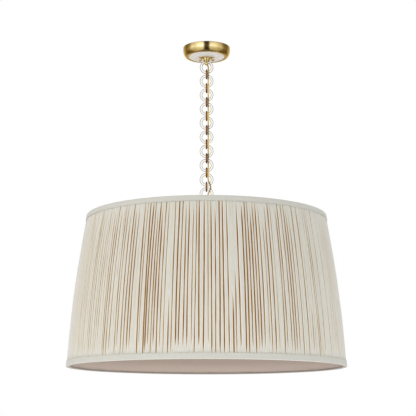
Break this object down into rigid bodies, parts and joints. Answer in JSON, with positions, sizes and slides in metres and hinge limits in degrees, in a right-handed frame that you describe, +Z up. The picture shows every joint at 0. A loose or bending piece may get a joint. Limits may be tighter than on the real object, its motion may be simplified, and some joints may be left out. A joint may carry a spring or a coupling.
{
  "type": "pendant light",
  "caption": "Drum pendant light with a hand-pleated fabric shade, hung from a round brass canopy by a chain of clear glass rings and brass links with a fabric cord woven through.",
  "frame": {"origin": "centre of the crossbar's upper face, which meets the ceiling", "axes": "+Z up, towards the ceiling; the front of the light faces -Y; +X to the right"},
  "size_m": [0.762, 0.762, 0.9051],
  "materials": {
    "brass": "satin",
    "steel": "zinc plated",
    "green_screw": "green plated",
    "disc": "frosted",
    "ring_glass": "clear",
    "pleated_cloth": "woven, hand pleated",
    "trim_cloth": "woven",
    "lining_cloth": "woven",
    "white_wire": "satin",
    "gold_cord": "braided",
    "lead_insulation": "smooth",
    "ground_insulation": "smooth",
    "connector_plastic": "moulded",
    "socket_plastic": "moulded",
    "bulb_diffuser": "frosted"
  },
  "bodies": {
    "ceiling": {"crossbar": "steel", "canopy_stud_left": "steel", "canopy_stud_right": "steel", "stud_nut_left": "steel", "stud_nut_right": "steel", "cap_nut_left": "brass", "cap_nut_right": "brass", "ground_screw": "green_screw", "canopy_shell": "brass", "canopy_disc": "disc", "canopy_loop": "brass", "canopy_loop_nut": "steel", "line_lead": "lead_insulation", "neutral_lead": "lead_insulation", "ground_lead": "ground_insulation", "line_connector": "connector_plastic", "neutral_connector": "connector_plastic", "power_cord": "gold_cord"},
    "ring_01": {"glass_ring_01": "ring_glass"},
    "link_01": {"link_01": "brass"},
    "ring_02": {"glass_ring_02": "ring_glass"},
    "link_02": {"link_02": "brass"},
    "ring_03": {"glass_ring_03": "ring_glass"},
    "link_03": {"link_03": "brass"},
    "ring_04": {"glass_ring_04": "ring_glass"},
    "link_04": {"link_04": "brass"},
    "ring_05": {"glass_ring_05": "ring_glass"},
    "link_05": {"link_05": "brass"},
    "ring_06": {"glass_ring_06": "ring_glass"},
    "link_06": {"link_06": "brass"},
    "ring_07": {"glass_ring_07": "ring_glass"},
    "link_07": {"link_07": "brass"},
    "ring_08": {"glass_ring_08": "ring_glass"},
    "link_08": {"link_08": "brass"},
    "ring_09": {"glass_ring_09": "ring_glass"},
    "link_09": {"link_09": "brass"},
    "ring_10": {"glass_ring_10": "ring_glass"},
    "link_10": {"link_10": "brass"},
    "ring_11": {"glass_ring_11": "ring_glass"},
    "fixture": {"fixture_loop": "brass", "stem": "brass", "stem_sleeve": "brass", "hub_nut": "brass", "shade_spider": "white_wire", "shade_frame": "white_wire", "shade_lining": "lining_cloth", "pleated_cover": "pleated_cloth", "top_trim": "trim_cloth", "bottom_trim": "trim_cloth", "cluster_body": "brass", "cluster_nut": "brass", "cluster_cover": "brass", "bottom_finial": "brass", "lamp_socket_1": "socket_plastic", "lamp_socket_2": "socket_plastic", "lamp_socket_3": "socket_plastic", "bulb_1": "bulb_diffuser", "bulb_2": "bulb_diffuser", "bulb_3": "bulb_diffuser"}
  },
  "joints": [
    {"name": "ring_01_turn", "type": "hinge", "parent": "ceiling", "child": "ring_01", "pos_m": [0, 0, -0.05695], "axis": [0, 1, 0], "range_deg": [-30, 30], "deforming": ["power_cord"]},
    {"name": "link_01_swing", "type": "hinge", "parent": "ring_01", "child": "link_01", "pos_m": [0, 0, -0.0726], "axis": [1, 0, 0], "range_deg": [-30, 30], "deforming": ["power_cord"]},
    {"name": "ring_02_turn", "type": "hinge", "parent": "link_01", "child": "ring_02", "pos_m": [0, 0, -0.09775], "axis": [0, -1, 0], "range_deg": [-30, 30], "deforming": ["power_cord"]},
    {"name": "link_02_swing", "type": "hinge", "parent": "ring_02", "child": "link_02", "pos_m": [0, 0, -0.1134], "axis": [-1, 0, 0], "range_deg": [-30, 30], "deforming": ["power_cord"]},
    {"name": "ring_03_turn", "type": "hinge", "parent": "link_02", "child": "ring_03", "pos_m": [0, 0, -0.13855], "axis": [0, 1, 0], "range_deg": [-30, 30], "deforming": ["power_cord"]},
    {"name": "link_03_swing", "type": "hinge", "parent": "ring_03", "child": "link_03", "pos_m": [0, 0, -0.1542], "axis": [1, 0, 0], "range_deg": [-30, 30], "deforming": ["power_cord"]},
    {"name": "ring_04_turn", "type": "hinge", "parent": "link_03", "child": "ring_04", "pos_m": [0, 0, -0.17935], "axis": [0, -1, 0], "range_deg": [-30, 30], "deforming": ["power_cord"]},
    {"name": "link_04_swing", "type": "hinge", "parent": "ring_04", "child": "link_04", "pos_m": [0, 0, -0.195], "axis": [-1, 0, 0], "range_deg": [-30, 30], "deforming": ["power_cord"]},
    {"name": "ring_05_turn", "type": "hinge", "parent": "link_04", "child": "ring_05", "pos_m": [0, 0, -0.22015], "axis": [0, 1, 0], "range_deg": [-30, 30], "deforming": ["power_cord"]},
    {"name": "link_05_swing", "type": "hinge", "parent": "ring_05", "child": "link_05", "pos_m": [0, 0, -0.2358], "axis": [1, 0, 0], "range_deg": [-30, 30], "deforming": ["power_cord"]},
    {"name": "ring_06_turn", "type": "hinge", "parent": "link_05", "child": "ring_06", "pos_m": [0, 0, -0.26095], "axis": [0, -1, 0], "range_deg": [-30, 30], "deforming": ["power_cord"]},
    {"name": "link_06_swing", "type": "hinge", "parent": "ring_06", "child": "link_06", "pos_m": [0, 0, -0.2766], "axis": [-1, 0, 0], "range_deg": [-30, 30], "deforming": ["power_cord"]},
    {"name": "ring_07_turn", "type": "hinge", "parent": "link_06", "child": "ring_07", "pos_m": [0, 0, -0.30175], "axis": [0, 1, 0], "range_deg": [-30, 30], "deforming": ["power_cord"]},
    {"name": "link_07_swing", "type": "hinge", "parent": "ring_07", "child": "link_07", "pos_m": [0, 0, -0.3174], "axis": [1, 0, 0], "range_deg": [-30, 30], "deforming": ["power_cord"]},
    {"name": "ring_08_turn", "type": "hinge", "parent": "link_07", "child": "ring_08", "pos_m": [0, 0, -0.34255], "axis": [0, -1, 0], "range_deg": [-30, 30], "deforming": ["power_cord"]},
    {"name": "link_08_swing", "type": "hinge", "parent": "ring_08", "child": "link_08", "pos_m": [0, 0, -0.3582], "axis": [-1, 0, 0], "range_deg": [-30, 30], "deforming": ["power_cord"]},
    {"name": "ring_09_turn", "type": "hinge", "parent": "link_08", "child": "ring_09", "pos_m": [0, 0, -0.38335], "axis": [0, 1, 0], "range_deg": [-30, 30], "deforming": ["power_cord"]},
    {"name": "link_09_swing", "type": "hinge", "parent": "ring_09", "child": "link_09", "pos_m": [0, 0, -0.399], "axis": [1, 0, 0], "range_deg": [-30, 30], "deforming": ["power_cord"]},
    {"name": "ring_10_turn", "type": "hinge", "parent": "link_09", "child": "ring_10", "pos_m": [0, 0, -0.42415], "axis": [0, -1, 0], "range_deg": [-30, 30], "deforming": ["power_cord"]},
    {"name": "link_10_swing", "type": "hinge", "parent": "ring_10", "child": "link_10", "pos_m": [0, 0, -0.4398], "axis": [-1, 0, 0], "range_deg": [-30, 30], "deforming": ["power_cord"]},
    {"name": "ring_11_turn", "type": "hinge", "parent": "link_10", "child": "ring_11", "pos_m": [0, 0, -0.46495], "axis": [0, 1, 0], "range_deg": [-30, 30], "deforming": ["power_cord"]},
    {"name": "fixture_swing", "type": "hinge", "parent": "ring_11", "child": "fixture", "pos_m": [0, 0, -0.4806], "axis": [1, 0, 0], "range_deg": [-30, 30], "deforming": ["power_cord"]}
  ]
}
